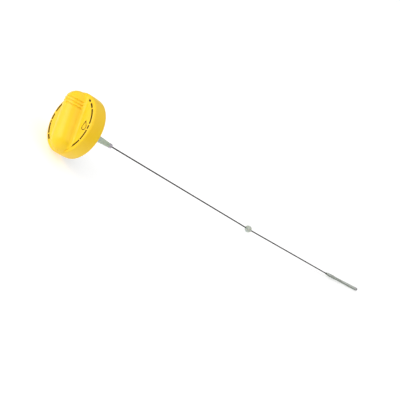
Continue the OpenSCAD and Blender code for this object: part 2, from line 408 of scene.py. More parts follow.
@dataclass(frozen=True)
class MouldedPlastic:
    """An injection-moulded plastic.

    Attributes:
        name: What it is and how it was made.
        tone: Its hex colour.
        shaded_tone: The colour that it drifts to in places.
        drift_mm: Size of the drifts of tone.
        gloss: Lowest and highest roughness.
        peel_mm: Width of the surface's ripples.
        peel_depth_mm: Their depth.
        glow: Share of light that scatters under the surface.
        glow_mm: How far it scatters.
        ior: Index of refraction.
    """

    name: str
    tone: str
    shaded_tone: str
    drift_mm: float
    gloss: tuple[float, float]
    peel_mm: float
    peel_depth_mm: float
    glow: float = 0.0
    glow_mm: float = 1.0
    ior: float = 1.5

    def colour(self, tree: bpy.types.NodeTree, place: bpy.types.NodeSocket) -> bpy.types.NodeSocket:
        """Mixes the two tones in slow drifts.

        Args:
            tree: The material's tree.
            place: Upright coordinates in millimetres.

        Returns:
            The socket with the colour.
        """
        drift = add_node(tree, "ShaderNodeTexNoise", {"Scale": 1 / self.drift_mm, "Detail": 3.0},
                         {"Vector": place})
        share = add_node(tree, "ShaderNodeMapRange", SPREAD, {"Value": drift.outputs["Fac"]})
        tones = add_node(tree, "ShaderNodeMix",
                         {"data_type": "RGBA", 6: linear(self.tone), 7: linear(self.shaded_tone)},
                         {0: share.outputs["Result"]})
        return tones.outputs[2]

    def material(self) -> bpy.types.Material:
        """Builds the node material.

        Returns:
            The material, with drifting tone, uneven gloss and rippled skin.
        """
        material, tree = blank_material(self.name)
        place = place_in(tree, LIE.matrix())
        handled = add_node(tree, "ShaderNodeTexNoise",
                           {"Scale": 4 / self.drift_mm, "Detail": 5.0, "Roughness": 0.6},
                           {"Vector": place})
        gloss = add_node(tree, "ShaderNodeMapRange",
                         {**SPREAD, "To Min": self.gloss[0], "To Max": self.gloss[1]},
                         {"Value": handled.outputs["Fac"]})
        peel = add_node(tree, "ShaderNodeTexNoise", {"Scale": 1 / self.peel_mm, "Detail": 1.0},
                        {"Vector": place})
        skin = add_node(tree, "ShaderNodeBump",
                        {"Strength": 1.0, "Distance": self.peel_depth_mm * MM},
                        {"Height": peel.outputs["Fac"]})
        shader = add_node(tree, "ShaderNodeBsdfPrincipled",
                          {"IOR": self.ior, "Subsurface Weight": self.glow,
                           "Subsurface Radius": (1.0, 0.7, 0.4),
                           "Subsurface Scale": self.glow_mm * MM},
                          {"Base Color": self.colour(tree, place),
                           "Roughness": gloss.outputs["Result"], "Normal": skin.outputs["Normal"]})
        add_node(tree, "ShaderNodeOutputMaterial", links={"Surface": shader.outputs["BSDF"]})
        return material


@dataclass(frozen=True)
class BladePlastic(MouldedPlastic):
    """The blade's plastic, with painted shade in the hatch and on the narrow sides, which lie below
    the broad faces.

    Attributes:
        painted_shade_tone: Hex colour of the painted shade in the hatch and on the narrow sides.
        face_at: Distances from the blade's middle plane where the painted shade ends and where the
            broad faces' own tone starts.
    """

    # Painted shade for the hatch and the narrow sides below the broad faces
    painted_shade_tone: str = "858C83"
    face_at: tuple[float, float] = (0.82, 0.96)

    def colour(self, tree: bpy.types.NodeTree, place: bpy.types.NodeSocket) -> bpy.types.NodeSocket:
        """Paints shade in the hatch and on the narrow sides, and keeps the faces' own tone.

        Args:
            tree: The material's tree.
            place: Upright coordinates in millimetres.

        Returns:
            The socket with the colour.
        """
        face_tone = super().colour(tree, place)
        own = place_in(tree, LIE.matrix() @ ROUTE.past_blade_turn())
        axes = add_node(tree, "ShaderNodeSeparateXYZ", links={"Vector": own})
        level = add_node(tree, "ShaderNodeMath", {"operation": "ABSOLUTE"}, {0: axes.outputs["X"]})
        on_face = add_node(tree, "ShaderNodeMapRange",
                           {"From Min": self.face_at[0], "From Max": self.face_at[1]},
                           {"Value": level.outputs["Value"]})
        # Painted shade: the hatch and the narrow sides below the broad faces take the darker tone
        tones = add_node(tree, "ShaderNodeMix", {"data_type": "RGBA", 6: linear(self.painted_shade_tone)},
                         {0: on_face.outputs["Result"], 7: face_tone})
        return tones.outputs[2]


@dataclass(frozen=True)
class PlatedMetal:
    """A metal with the marks of how it was made.

    Attributes:
        name: What it is and how it was made.
        tone: Its hex colour.
        dull_tone: The colour of duller patches.
        patch_mm: Size of these patches.
        gloss: Lowest and highest roughness.
        ring_mm: Distance between turning rings, or 0 for none.
        grain_mm: Size of the surface grain.
        grain_depth_mm: Depth of the grain and the rings.
    """

    name: str
    tone: str
    dull_tone: str
    patch_mm: float
    gloss: tuple[float, float]
    grain_mm: float
    grain_depth_mm: float
    ring_mm: float = 0.0

    def material(self) -> bpy.types.Material:
        """Builds the node material.

        Returns:
            The material, with clouded tone and gloss and the relief of its making.
        """
        material, tree = blank_material(self.name)
        place = place_in(tree, LIE.matrix())
        patches = add_node(tree, "ShaderNodeTexNoise",
                           {"Scale": 1 / self.patch_mm, "Detail": 4.0, "Roughness": 0.6},
                           {"Vector": place})
        share = add_node(tree, "ShaderNodeMapRange", SPREAD, {"Value": patches.outputs["Fac"]})
        tones = add_node(tree, "ShaderNodeMix",
                         {"data_type": "RGBA", 6: linear(self.tone), 7: linear(self.dull_tone)},
                         {0: share.outputs["Result"]})
        gloss = add_node(tree, "ShaderNodeMapRange",
                         {**SPREAD, "To Min": self.gloss[0], "To Max": self.gloss[1]},
                         {"Value": patches.outputs["Fac"]})
        if self.ring_mm:
            relief = add_node(tree, "ShaderNodeTexWave",
                              {"bands_direction": "Z",
                               "Scale": 2 * math.pi / (WAVE_TURN * self.ring_mm),
                               "Distortion": 0.6, "Detail": 1.0}, {"Vector": place})
        else:
            relief = add_node(tree, "ShaderNodeTexNoise", {"Scale": 1 / self.grain_mm},
                              {"Vector": place})
        skin = add_node(tree, "ShaderNodeBump",
                        {"Strength": 1.0, "Distance": self.grain_depth_mm * MM},
                        {"Height": relief.outputs["Fac"]})
        shader = add_node(tree, "ShaderNodeBsdfPrincipled", {"Metallic": 1.0},
                          {"Base Color": tones.outputs[2], "Roughness": gloss.outputs["Result"],
                           "Normal": skin.outputs["Normal"]})
        add_node(tree, "ShaderNodeOutputMaterial", links={"Surface": shader.outputs["BSDF"]})
        return material


# Yellow polypropylene from a polished mould: even, strong colour and a broad soft gloss
CAP_FINISH = MouldedPlastic(
    "polypropylene_moulded_yellow", "FCD206", "F8C904", drift_mm=30.0, gloss=(0.36, 0.44),
    peel_mm=0.9, peel_depth_mm=0.004, glow=0.06, glow_mm=0.5, ior=1.49)
# Pad-printed ink on the face: dark, matt and a little thin in places
INK_FINISH = MouldedPlastic(
    "pad_print_ink_dark_brown", "3D2900", "543A00", drift_mm=1.5, gloss=(0.6, 0.7),
    peel_mm=0.3, peel_depth_mm=0.002, ior=1.25)
# Glass-filled nylon: near black with a dry, faintly streaked skin
INSERT_FINISH = MouldedPlastic(
    "glass_filled_nylon_moulded_black", "191A1C", "232427", drift_mm=6.0, gloss=(0.42, 0.58),
    peel_mm=0.5, peel_depth_mm=0.012)
# Nitrile rubber: black and matt with a fine mould texture
SEAL_FINISH = MouldedPlastic(
    "nitrile_rubber_moulded_black", "101112", "17181A", drift_mm=8.0, gloss=(0.6, 0.75),
    peel_mm=0.35, peel_depth_mm=0.01)
# Natural nylon: pale green-grey, waxy, with light scattering under the surface
HOLDER_FINISH = MouldedPlastic(
    "natural_nylon_moulded", "B8C5B2", "A5B39F", drift_mm=9.0, gloss=(0.36, 0.46),
    peel_mm=0.8, peel_depth_mm=0.006, glow=0.3, glow_mm=1.5, ior=1.53)
# The bead's natural nylon, a little whiter and chalky from rubbing in the tube
BEAD_FINISH = MouldedPlastic(
    "natural_nylon_moulded_rubbed", "C4CBBF", "AAB3A6", drift_mm=2.5, gloss=(0.42, 0.55),
    peel_mm=0.5, peel_depth_mm=0.008, glow=0.3, glow_mm=1.2, ior=1.53)
# Heat-stabilised nylon: satin grey-green, with painted shade in the blade's hatch and on its narrow
# sides
BLADE_FINISH = BladePlastic(
    "heat_stabilised_nylon_moulded_grey", "C6CAC4", "B6BAB3", drift_mm=5.0, gloss=(0.38, 0.5),
    peel_mm=0.4, peel_depth_mm=0.006, glow=0.1, glow_mm=0.6, ior=1.53)
# Zinc plate with a pale violet passivation: bright but clouded
PLATE_FINISH = PlatedMetal(
    "zinc_plated_steel_pressed", "D3CDD4", "A49EA8", patch_mm=1.2, gloss=(0.22, 0.36),
    grain_mm=0.25, grain_depth_mm=0.004)
# Galvanised steel wire: dark grey, dulled by handling and oil
WIRE_FINISH = PlatedMetal(
    "galvanised_steel_wire_stranded", "646161", "4B4949", patch_mm=4.0, gloss=(0.34, 0.5),
    grain_mm=0.12, grain_depth_mm=0.003)
# Plain steel turned on a lathe: dull mid grey with fine rings. A tool leaves them closer, and
# they are drawn this wide to show
STOP_FINISH = PlatedMetal(
    "carbon_steel_turned", "C6C6C6", "B0B0B0", patch_mm=1.5, gloss=(0.55, 0.62),
    grain_mm=0.2, grain_depth_mm=0.004, ring_mm=0.25)


def finish_piece(name: str, bm: bmesh.types.BMesh, material: bpy.types.Material,
                 nodes: Sequence[str] = (), sharp_deg: float = 38.0) -> bpy.types.Object:
    """Lays a mesh down in the row frame and adds it to the scene under the root body.

    Args:
        name: The piece's name.
        bm: Its mesh, upright and in millimetres. It is freed.
        material: Its material.
        nodes: CAD nodes that it stands for.
        sharp_deg: Edges that turn by more than this stay sharp.

    Returns:
        The piece's object.
    """
    bm.transform(LIE.matrix())
    shade(bm, sharp_deg)
    mesh = bpy.data.meshes.new(name)
    bm.to_mesh(mesh)
    bm.free()
    mesh.materials.append(material)
    piece = bpy.data.objects.new(name, mesh)
    bpy.context.scene.collection.objects.link(piece)
    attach(piece, "root")
    if nodes:
        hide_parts(*nodes)
    LOG.info("%s: %d faces", name, len(mesh.polygons))
    return piece


def dress_node(name: str, material: bpy.types.Material) -> None:
    """Gives a CAD node that stays in view its material.

    Args:
        name: The node's name.
        material: Its material.
    """
    node = frame["nodes"][name]
    if not node.material_slots:
        node.data.materials.append(material)
    for slot in node.material_slots:
        slot.material = material
    LOG.info("%s: CAD node kept", name)


@dataclass
class FillerCap:
    """The yellow cap: skirt, face, hollow grip bar with finger grooves, and its markings.

    Attributes:
        cap_r: Outer radius.
        face_z: Height of the face above the rim.
        skirt_wall: Thickness of the skirt.
        face_wall: Thickness of the face.
        edge_round: Rounding between skirt and face.
        rim_round: Rounding of the rim.
        foot_h: Height over which the skirt tapers in towards the rim.
        bead_top: Height of the retaining bead inside the skirt.
        bead_reach: How far that bead stands in.
        grip_r: Radius of the grip bar.
        grip_half: Half of its length.
        grip_dir: Its direction round the axis, in degrees.
        grip_fillet: Fillet between bar and face.
        groove_count: Finger grooves.
        groove_pitch: Distance between them.
        groove_w: Their width.
        groove_wall: Width of a groove's sloping wall.
        groove_depth: Their depth on the bar's crest.
        groove_lean: How much deeper they are on the flank that the fingers pull, and how much
            shallower on the other.
        groove_start: Distance from the axis to the first.
        groove_skew: Their skew across the bar, in degrees.
        groove_foot: Height over the face at which they have run out.
        groove_run: Height over which they run out.
        hug_run: Length over which the fillet draws in where the face's rounded edge starts.
        drop_r: Radius of the printed drop's round end.
        drop_len: Length of the drop.
        drop_line: Width of its printed line.
        drop_at: Place of its round end along the bar, from the axis.
        dash_r: Radius on which the printed dashes lie.
        dash_w: Width of a dash.
        ink_t: Thickness of the ink.
        right_dashes: Start and sweep of each dash on one side, in degrees from square to the bar.
        left_dashes: The same on the other side.
        round_steps: Segments round the cup.
        edge_steps: Segments in each rounding of the cup and in the fillet.
        crest_steps: Segments over half of the bar.
        end_steps: Segments round the grooved end of the bar and round the plain one.
        row_counts: Rows along the plain stretch of the bar and along the grooved one.
        material: The cap's material.
    """

    cap_r: float = 28.0
    face_z: float = 14.0
    skirt_wall: float = 2.4
    face_wall: float = 2.6
    edge_round: float = 2.0
    rim_round: float = 0.6
    foot_h: float = 5.0
    bead_top: float = 8.45
    bead_reach: float = 0.6
    grip_r: float = 11.0
    grip_half: float = 27.6
    grip_dir: float = 48.0
    grip_fillet: float = 3.4
    groove_count: int = 3
    groove_pitch: float = 2.75
    groove_w: float = 1.2
    groove_wall: float = 0.3
    groove_depth: float = 0.65
    groove_lean: float = 0.3
    groove_start: float = 13.0
    groove_skew: float = 15.0
    groove_foot: float = 0.5
    groove_run: float = 1.2
    hug_run: float = 1.4
    drop_r: float = 2.8
    drop_len: float = 9.0
    drop_line: float = 0.7
    drop_at: float = -4.6
    dash_r: float = 25.0
    dash_w: float = 1.6
    ink_t: float = 0.03
    right_dashes: tuple[Point, ...] = (
        (-61.0, 20.5), (-38.8, 21.8), (-14.5, 7.5), (-4.0, 31.5), (30.2, 12.0), (47.0, 7.0))
    left_dashes: tuple[Point, ...] = (
        (-60.0, 36.5), (-18.5, 12.0), (-3.5, 3.0), (0.9, 22.5), (26.0, 12.5))
    round_steps: int = 160
    edge_steps: int = 10
    crest_steps: int = 84
    end_steps: tuple[int, int] = (96, 48)
    row_counts: tuple[int, int] = (8, 44)
    material: bpy.types.Material = field(default_factory=CAP_FINISH.material)

    def straight(self) -> float:
        """Half of the bar's straight length, between its round ends."""
        return self.grip_half - self.grip_r

    def cup(self) -> bmesh.types.BMesh:
        """Turns skirt and face from one section.

        Returns:
            The closed cup, with the retaining bead inside its skirt.
        """
        skirt_in = self.cap_r - self.skirt_wall
        foot_r = self.cap_r - self.foot_h * math.tan(LIE.angle())
        bead_in = skirt_in - self.bead_reach
        outline = rounded([
            (0, self.face_z, 0),
            (self.cap_r, self.face_z, self.edge_round),
            (self.cap_r, self.foot_h, 0),
            (foot_r, 0, self.rim_round),
            (skirt_in, 0, self.rim_round / 2),
            (skirt_in, self.bead_top - 2 * self.bead_reach, 0),
            (bead_in, self.bead_top - self.bead_reach / 2, 0),
            (bead_in, self.bead_top, 0),
            (skirt_in, self.bead_top, 0),
            (skirt_in, self.face_z - self.face_wall, 0),
            (0, self.face_z - self.face_wall, 0),
        ], steps=self.edge_steps)
        return turned(outline, steps=self.round_steps)

    def foot(self) -> float:
        """Distance from the bar's middle to where its fillet meets the face."""
        return math.sqrt((self.grip_r + self.grip_fillet) ** 2 - self.grip_fillet ** 2)

    def touch(self) -> Point:
        """Where the fillet meets the bar, as (distance from its middle, height over the face)."""
        share = self.grip_r / (self.grip_r + self.grip_fillet)
        return self.foot() * share, self.grip_fillet * share

    def bar_section(self) -> list[Point]:
        """Draws half of the bar's section.

        Returns:
            Points from its crest down the fillet and into the face.
        """
        touch_deg = math.degrees(math.atan2(*reversed(self.touch())))
        crest = arc((0, 0), self.grip_r, 90, touch_deg, self.crest_steps)
        hollow = arc((self.foot(), self.grip_fillet), self.grip_fillet, 180 + touch_deg, 270,
                     self.edge_steps)
        section = crest + hollow[1:] + [(self.foot(), -self.face_wall / 2)]
        return [(distance, height + self.face_z) for distance, height in section]

    def bar_rows(self) -> list[float]:
        """Spaces the rows along the bar's straight part.

        Returns:
            Their places, close together where the grooves run.
        """
        half = self.straight()
        fine_from = self.groove_start - 3 * self.groove_pitch / 2
        coarse, fine = self.row_counts
        plain = [-half + (fine_from + half) * i / coarse for i in range(coarse)]
        return plain + [fine_from + (half - fine_from) * i / fine for i in range(fine + 1)]

    def groove(self, point: Vector) -> Vector:
        """Presses a point of the bar's skin in where a finger groove runs.

        Args:
            point: The point, with the bar along Y.

        Returns:
            Its new place.
        """
        skew = math.radians(self.groove_skew)
        along = point.x * math.sin(skew) + point.y * math.cos(skew)
        edge = self.groove_w / 2 + self.groove_wall / 3
        depth = 0.0
        for i in range(self.groove_count):
            off = abs(along - self.groove_start - i * self.groove_pitch)
            depth = max(depth, smooth_step((edge - off) / self.groove_wall))
        across = max(-1.0, min(1.0, point.x / self.grip_r))
        depth *= self.groove_depth + self.groove_lean * across
        depth *= smooth_step((point.z - self.face_z - self.groove_foot) / self.groove_run)
        return point - (point - self.core(point)).normalized() * depth

    def core(self, point: Vector) -> Vector:
        """Nearest point on the bar's own middle line."""
        return Vector((0, min(self.straight(), max(-self.straight(), point.y)), self.face_z))

    def hug(self, point: Vector) -> Vector:
        """Draws the fillet in under the bar where the face's rounded edge starts.

        Args:
            point: The point, with the bar along Y.

        Returns:
            Its new place.
        """
        middle = self.core(point)
        out = Vector((point.x, point.y - middle.y, 0))
        touch, height = self.touch()
        if out.length <= touch:
            return point
        sunk = min(1.0, (out.length - touch) / (self.foot() - touch))
        drop = height - (height + self.face_wall / 2) * sunk
        near = middle + out.normalized() * math.sqrt(self.grip_r ** 2 - drop ** 2)
        near.z = self.face_z + drop
        past = math.hypot(point.x, point.y) - self.cap_r + self.edge_round
        return point.lerp(near, smooth_step(past / self.hug_run))

    def bar(self) -> bmesh.types.BMesh:
        """Sweeps the half section along both sides of the bar and round both ends.

        Returns:
            The closed bar with its fillet and finger grooves, along Y.
        """
        bm = bmesh.new()
        rows = self.bar_rows()
        verts = [bm.verts.new((x, rows[0], z)) for x, z in self.bar_section()]
        line = [bm.edges.new((a, b)) for a, b in zip(verts, verts[1:])]
        for side, places, steps in zip((1, -1), (rows, rows[::-1]), self.end_steps):
            for before, after in zip(places, places[1:]):
                out = bmesh.ops.extrude_edge_only(bm, edges=line)
                line = [e for e in out["geom"] if isinstance(e, bmesh.types.BMEdge)
                        and all(v in out["geom"] for v in e.verts)]
                moved = list({v for e in line for v in e.verts})
                bmesh.ops.translate(bm, verts=moved, vec=(0, after - before, 0))
            out = bmesh.ops.spin(bm, geom=list({v for e in line for v in e.verts}) + line,
                                 cent=(0, side * self.straight(), 0), axis=(0, 0, 1),
                                 angle=math.pi, steps=steps)
            line = [e for e in out["geom_last"] if isinstance(e, bmesh.types.BMEdge)]
        close_up(bm)
        for vert in bm.verts:
            vert.co = self.groove(self.hug(vert.co))
        return close_up(bm)

    def turned_to_grip(self, bm: bmesh.types.BMesh) -> bmesh.types.BMesh:
        """Turns a mesh built along Y to the grip's own direction.

        Args:
            bm: The mesh, which is changed.

        Returns:
            The same mesh.
        """
        bmesh.ops.rotate(bm, verts=bm.verts[:], cent=(0, 0, 0),
                         matrix=Matrix.Rotation(math.radians(self.grip_dir - 90), 3, "Z"))
        return bm

    def drop(self) -> bmesh.types.BMesh:
        """Prints the outline of a plain drop on the flat beside the bar.

        Returns:
            The closed layer of ink.
        """
        # Round the low end from flank to flank, and then the tip
        outer = arc((0, 0), self.drop_r, 150, 390, 24) + [(0.0, self.drop_len - self.drop_r)]
        inner_share = 1 - self.drop_line / self.drop_r
        low = self.face_z - self.ink_t
        bm = bmesh.new()
        for share in (1.0, inner_share):
            ring = [bm.verts.new((x * share, y * share, low)) for x, y in outer]
            for a, b in zip(ring, ring[1:] + ring[:1]):
                bm.edges.new((a, b))
        layer = bmesh.ops.bridge_loops(bm, edges=bm.edges[:])["faces"]
        raised = bmesh.ops.extrude_face_region(bm, geom=layer, use_keep_orig=True)
        top = [part for part in raised["geom"] if isinstance(part, bmesh.types.BMVert)]
        bmesh.ops.translate(bm, verts=top, vec=(0, 0, 2 * self.ink_t))
        away = (self.foot() + self.dash_r) / 2
        bmesh.ops.translate(bm, verts=bm.verts[:], vec=(away, self.drop_at, 0))
        return self.turned_to_grip(close_up(bm))

    def print_marks(self) -> bmesh.types.BMesh:
        """Prints the drop, and the dashes that follow the rim of the face on both sides of the bar.

        Returns:
            All marks in one mesh.
        """
        inner, outer = self.dash_r - self.dash_w / 2, self.dash_r + self.dash_w / 2
        low, top = self.face_z - self.ink_t, self.face_z + self.ink_t
        section = [(inner, low), (outer, low), (outer, top), (inner, top)]
        marks = [self.drop()]
        degrees_a_step = 2
        for side, spans in ((-90, self.right_dashes), (90, self.left_dashes)):
            for start, sweep in spans:
                steps = max(2, round(sweep / degrees_a_step))
                marks.append(swept_round(section, self.grip_dir + side + start, sweep, steps))
        return joined(marks)

    def build(self) -> None:
        """Builds the cap with its markings."""
        body = joined([self.cup(), self.turned_to_grip(self.bar())])
        finish_piece("filler_cap", body, self.material, ["cap_shell"])
        finish_piece("face_print", self.print_marks(), INK_FINISH.material())


@dataclass
class ThreadedInsert:
    """The inner part: flange, socket with webs, and spigot with its thread.

    Attributes:
        flange_r: Radius of the flange.
        flange_top: Height of its upper side.
        flange_z: Height of its underside.
        neck_r: Radius of the plain neck behind the thread.
        thread_top: Height where the neck ends.
        crest_r: Radius over the thread.
        thread_h: Height of the thread's ridge.
        thread_turns: Turns of the thread.
        ridge_base: Half width of the ridge at its foot.
        ridge_top: Half width of the ridge at its crest.
        run_out: Share of a turn in which the ridge runs out at each end.
        bore_r: Inner radius of the spigot.
        reach: How far the spigot stands out past the rim.
        nose_chamfer: Chamfer of its nose.
        socket_r: Outer radii of the socket, at the floor and at its end.
        socket_bore: Inner radii of the socket.
        socket_end: Height of the socket's end.
        hole_r: Radius of the hole in the floor.
        web_count: Webs between socket and spigot.
        web_t: Thickness of a web.
        web_into: How far a web runs into the socket, the spigot and the floor.
        web_edge: Bevel of its lower edges.
        soft: Rounding of the other edges.
        round_steps: Segments round the body.
        turn_steps: Segments in a turn of the thread.
    """

    flange_r: float = 25.45
    flange_top: float = 11.4
    flange_z: float = 8.6
    neck_r: float = 17.2
    thread_top: float = 5.4
    crest_r: float = 18.0
    thread_h: float = 1.0
    thread_turns: float = 2.0
    ridge_base: float = 1.15
    ridge_top: float = 0.4
    run_out: float = 0.1
    bore_r: float = 15.4
    reach: float = 5.0
    nose_chamfer: float = 0.8
    socket_r: tuple[float, float] = (6.8, 6.41)
    socket_bore: tuple[float, float] = (4.95, 4.56)
    socket_end: float = 2.6
    hole_r: float = 3.15
    web_count: int = 6
    web_t: float = 1.6
    web_into: Corner = (0.6, 0.4, 0.6)
    web_edge: float = 0.25
    soft: float = 0.3
    round_steps: int = 128
    turn_steps: int = 96

    def body(self) -> bmesh.types.BMesh:
        """Turns flange, neck, spigot wall, floor and socket from one section.

        Returns:
            The closed body without thread and webs.
        """
        root_r = self.crest_r - self.thread_h
        return turned(rounded([
            (self.hole_r, self.flange_top, 0),
            (self.flange_r, self.flange_top, self.soft),
            (self.flange_r, self.flange_z, self.soft),
            (self.neck_r, self.flange_z, self.soft),
            (self.neck_r, self.thread_top, 0),
            (root_r, self.thread_top - self.thread_h, 0),
            (root_r, -self.reach, self.nose_chamfer),
            (self.bore_r, -self.reach, self.soft),
            (self.bore_r, self.flange_z, self.soft),
            (self.socket_r[0], self.flange_z, self.soft),
            (self.socket_r[1], self.socket_end, self.soft),
            (self.socket_bore[1], self.socket_end, 0),
            (self.socket_bore[0], self.flange_z, 0),
            (self.hole_r, self.flange_z, 0),
        ]), steps=self.round_steps)

    def thread(self) -> bmesh.types.BMesh:
        """Winds the ridge of the right-handed thread, which runs out at both ends.

        Returns:
            The closed ridge, sunk a little into the body.
        """
        root_r = self.crest_r - self.thread_h
        low = self.nose_chamfer - self.reach + self.ridge_base
        climb = self.thread_top - self.ridge_base - low
        sunk = root_r - self.thread_h / 4
        section = [(sunk, low - self.ridge_base), (root_r, low - self.ridge_base),
                   (self.crest_r, low - self.ridge_top), (self.crest_r, low + self.ridge_top),
                   (root_r, low + self.ridge_base), (sunk, low + self.ridge_base)]
        bm = swept_round(section, 0, 360 * self.thread_turns,
                         int(self.turn_steps * self.thread_turns), climb)
        pitch = climb / self.thread_turns
        for vert in bm.verts:
            share = (math.atan2(vert.co.y, vert.co.x) / (2 * math.pi)) % 1.0
            turn = share + round((vert.co.z - low) / pitch - share)
            fade = smooth_step(min(turn, self.thread_turns - turn) / self.run_out)
            flat = Vector((vert.co.x, vert.co.y, 0))
            flat = flat.normalized() * (sunk + (flat.length - sunk) * fade)
            vert.co = Vector((flat.x, flat.y, vert.co.z))
        return bm

    def web(self, index: int) -> bmesh.types.BMesh:
        """Builds one radial web between the socket and the spigot.

        Args:
            index: Its number round the axis.

        Returns:
            The closed web.
        """
        bm = bmesh.new()
        bmesh.ops.create_cube(bm, size=1.0)
        into_socket, into_spigot, into_floor = self.web_into
        inner = self.socket_r[1] - into_socket
        outer = self.bore_r + into_spigot
        height = self.flange_z + into_floor - self.socket_end
        bmesh.ops.scale(bm, verts=bm.verts[:], vec=(outer - inner, self.web_t, height))
        bmesh.ops.translate(bm, verts=bm.verts[:],
                            vec=((inner + outer) / 2, 0, self.socket_end + height / 2))
        lower = [e for e in bm.edges if all(v.co.z < self.flange_z for v in e.verts)]
        bmesh.ops.bevel(bm, geom=lower, offset=self.web_edge, segments=3, affect="EDGES",
                        profile=0.5, material=-1)
        bmesh.ops.rotate(bm, verts=bm.verts[:], cent=(0, 0, 0),
                         matrix=Matrix.Rotation(index * 2 * math.pi / self.web_count, 3, "Z"))
        return bm

    def build(self) -> None:
        """Builds the insert."""
        webs = [self.web(i) for i in range(self.web_count)]
        finish_piece("threaded_insert", joined([self.body(), self.thread()] + webs),
                     INSERT_FINISH.material(), ["thread_insert"])


@dataclass
class Gasket:
    """The flat seal behind the thread.

    Attributes:
        inner_r: Radius where it sits on the neck.
        face_in: Inner radius of its flat underside.
        outer_r: Outer radius.
        top: Height of its upper side.
        thickness: Its thickness.
        edge: Rounding of its outer edges.
        round_steps: Segments round it.
    """

    inner_r: float = 17.35
    face_in: float = 18.3
    outer_r: float = 24.0
    top: float = 8.6
    thickness: float = 2.6
    edge: float = 0.45
    round_steps: int = 128

    def build(self) -> None:
        """Builds the gasket."""
        low = self.top - self.thickness
        outline = rounded([
            (self.inner_r, self.top, 0),
            (self.outer_r, self.top, self.edge),
            (self.outer_r, low, self.edge),
            (self.face_in, low, self.edge / 2),
            (self.inner_r, low + self.face_in - self.inner_r, self.edge / 2),
        ])
        finish_piece("gasket", turned(outline, steps=self.round_steps), SEAL_FINISH.material(),
                     ["seal_ring"])


@dataclass
class StickHolder:
    """The tapered nylon holder that carries the wire, and the crimp on its nose.

    Attributes:
        top: Height of its head.
        head_r: Radius of the head.
        head_t: Height of the head.
        neck_r: Radius through the insert's floor.
        flange_top: Height of the floor's upper side.
        flange_z: Height of the floor's underside.
        shoulder_r: Radius at the shoulder.
        end: Distance from the rim to its lower end.
        end_r: Radius there.
        nose_r: Radius of the nose.
        nose_len: Length of the nose.
        pocket_r: Radius of the pocket for the wire's swaged stop.
        pocket_z: Height of the pocket's floor.
        bore_r: Radius of the bore for the wire.
        crimp_r: Outer radius of the crimp.
        crimp_len: Its length.
        crimp_gap: Clearance inside the crimp.
        crimp_edges: Roundings of its upper and lower edges.
        press_half: Half length of the stretch that is pressed in.
        press: Depth of the six presses.
        soft: Rounding of the holder's edges.
        round_steps: Segments round both.
    """

    top: float = 13.4
    head_r: float = 4.2
    head_t: float = 2.0
    neck_r: float = 3.0
    flange_top: float = 11.4
    flange_z: float = 8.6
    shoulder_r: float = 4.8
    end: float = 33.0
    end_r: float = 2.1
    nose_r: float = 1.45
    nose_len: float = 2.6
    pocket_r: float = 2.05
    pocket_z: float = 7.4
    bore_r: float = 0.7
    crimp_r: float = 2.15
    crimp_len: float = 3.2
    crimp_gap: float = 0.05
    crimp_edges: Point = (0.15, 0.3)
    press_half: float = 0.7
    press: float = 0.12
    soft: float = 0.25
    round_steps: int = 72

    def holder(self) -> bmesh.types.BMesh:
        """Turns the holder with its bore.

        Returns:
            The closed holder.
        """
        nose_end = -self.end - self.nose_len
        return turned(rounded([
            (self.pocket_r, self.top, 0),
            (self.head_r - self.head_t / 3, self.top, self.soft),
            (self.head_r, self.top - self.head_t / 2, self.soft),
            (self.head_r, self.flange_top, 0),
            (self.neck_r, self.flange_top, 0),
            (self.neck_r, self.flange_z, 0),
            (self.shoulder_r, self.flange_z, self.soft),
            (self.end_r, -self.end, self.soft),
            (self.nose_r, -self.end, 0),
            (self.nose_r, nose_end, 0),
            (self.bore_r, nose_end, 0),
            (self.bore_r, self.pocket_z, 0),
            (self.pocket_r, self.pocket_z, 0),
        ]), steps=self.round_steps)

    def crimp(self) -> bmesh.types.BMesh:
        """Turns the crimp and then presses it in from six sides.

        Returns:
            The closed crimp.
        """
        inner = self.nose_r + self.crimp_gap
        floor = -self.end - self.nose_len - self.crimp_gap
        low = -self.end - self.crimp_len
        middle = -self.end - self.crimp_len / 2
        near = 0.1
        bm = turned(rounded([
            (inner, -self.end, 0),
            (self.crimp_r, -self.end, self.crimp_edges[0]),
            (self.crimp_r, middle + self.press_half, 0),
            (self.crimp_r, middle, 0),
            (self.crimp_r, middle - self.press_half, 0),
            (self.crimp_r, low, self.crimp_edges[1]),
            (self.bore_r, low, 0),
            (self.bore_r, floor, 0),
            (inner, floor, 0),
        ]), steps=self.round_steps)
        for vert in bm.verts:
            is_inside = math.hypot(vert.co.x, vert.co.y) < inner + near
            if is_inside or abs(vert.co.z - middle) > near:
                continue
            side = math.cos(3 * math.atan2(vert.co.y, vert.co.x)) ** 2
            shrink = 1 - self.press * side / self.crimp_r
            vert.co = Vector((vert.co.x * shrink, vert.co.y * shrink, vert.co.z))
        return bm

    def build(self) -> None:
        """Builds holder and crimp, and dresses the wire's swaged stop."""
        finish_piece("stick_holder_body", self.holder(), HOLDER_FINISH.material(),
                     ["stick_holder"])
        plate = PLATE_FINISH.material()
        finish_piece("pressed_crimp", self.crimp(), plate, ["holder_crimp"],
                     sharp_deg=50)
        dress_node("wire_anchor", plate)


